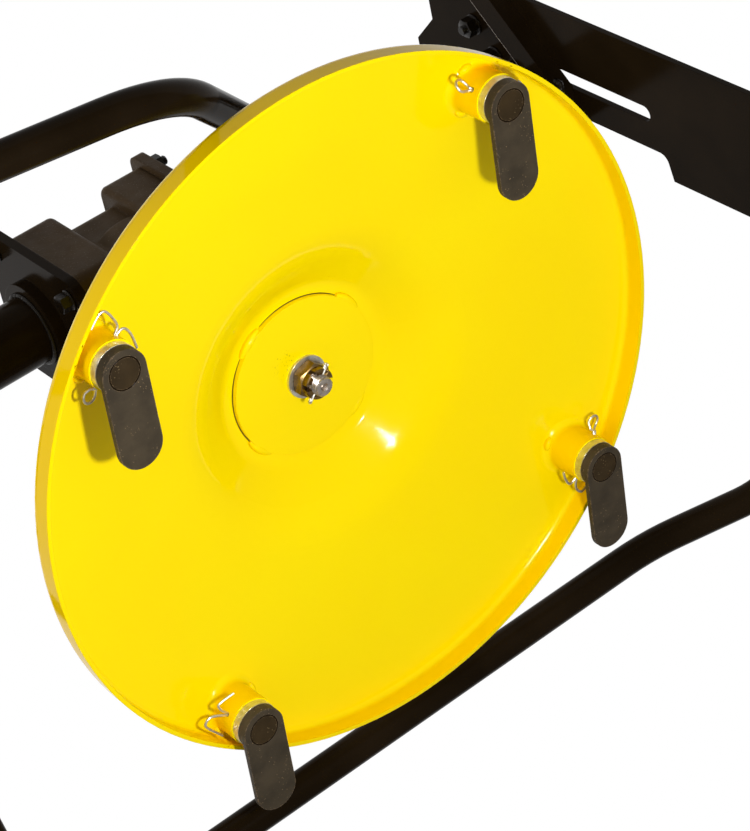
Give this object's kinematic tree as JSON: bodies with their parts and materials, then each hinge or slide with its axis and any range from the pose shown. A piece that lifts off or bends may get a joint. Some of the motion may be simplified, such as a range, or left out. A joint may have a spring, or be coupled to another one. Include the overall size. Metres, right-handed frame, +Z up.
{
  "type": "rotary mower cutting head",
  "caption": "Rotary mower cutting head: a dished yellow disc with swinging blades, hung from a right-angle gearbox on a torque tube, with bent tube guards and a slotted front leg.",
  "frame": {"origin": "centre of the rear flange's outer face, on the torque tube's axis", "axes": "+X forward along the torque tube, +Y to the left, +Z up along the spindle"},
  "size_m": [1.026, 0.8121, 0.606],
  "materials": {
    "yellow_paint": "gloss",
    "black_paint": "gloss",
    "cast_black": "satin",
    "scale_steel": "mill scale",
    "bare_steel": "machined",
    "zinc_plate": "bright zinc",
    "yellow_zinc": "yellow passivated zinc"
  },
  "bodies": {
    "frame": {"rear_flange": "black_paint", "torque_tube": "black_paint", "gearbox_flange": "black_paint", "rail_saddle": "black_paint", "gearbox_housing": "cast_black", "gearbox_cover": "cast_black", "spindle_column": "cast_black", "front_beam": "black_paint", "beam_plate": "black_paint", "front_leg": "black_paint", "leg_bracket": "black_paint", "leg_brace": "black_paint", "right_guard": "black_paint", "left_guard": "black_paint"},
    "rotor": {"disc_pan": "yellow_paint", "hub_plate": "yellow_paint", "hub_boss": "yellow_paint", "spindle": "bare_steel", "spindle_washer": "zinc_plate", "castle_nut": "yellow_zinc", "blade_stub_1": "yellow_paint", "thrust_ring_1": "zinc_plate", "blade_pin_1": "scale_steel", "blade_stub_2": "yellow_paint", "thrust_ring_2": "zinc_plate", "blade_pin_2": "scale_steel", "blade_stub_3": "yellow_paint", "thrust_ring_3": "zinc_plate", "blade_pin_3": "scale_steel", "blade_stub_4": "yellow_paint", "thrust_ring_4": "zinc_plate", "blade_pin_4": "scale_steel"},
    "drive": {"drive_shaft": "bare_steel"},
    "blade_1": {"blade_1": "scale_steel"},
    "blade_2": {"blade_2": "scale_steel"},
    "blade_3": {"blade_3": "scale_steel"},
    "blade_4": {"blade_4": "scale_steel"}
  },
  "joints": [
    {"name": "disc_spin", "type": "hinge", "parent": "frame", "child": "rotor", "pos_m": [0.46, 0, -0.28], "axis": [0, 0, 1], "continuous": true},
    {"name": "shaft_spin", "type": "hinge", "parent": "frame", "child": "drive", "pos_m": [0, 0, 0], "axis": [1, 0, 0], "continuous": true},
    {"name": "blade_swing_1", "type": "hinge", "parent": "rotor", "child": "blade_1", "pos_m": [0.68956, 0.19468, -0.3927], "axis": [0, 0, 1], "continuous": true},
    {"name": "blade_swing_2", "type": "hinge", "parent": "rotor", "child": "blade_2", "pos_m": [0.26532, 0.22956, -0.3927], "axis": [0, 0, 1], "continuous": true},
    {"name": "blade_swing_3", "type": "hinge", "parent": "rotor", "child": "blade_3", "pos_m": [0.23044, -0.19468, -0.3927], "axis": [0, 0, 1], "continuous": true},
    {"name": "blade_swing_4", "type": "hinge", "parent": "rotor", "child": "blade_4", "pos_m": [0.65468, -0.22956, -0.3927], "axis": [0, 0, 1], "continuous": true}
  ],
  "couplings": [
    {"joint": "shaft_spin", "follows": "disc_spin", "ratio": -1}
  ]
}
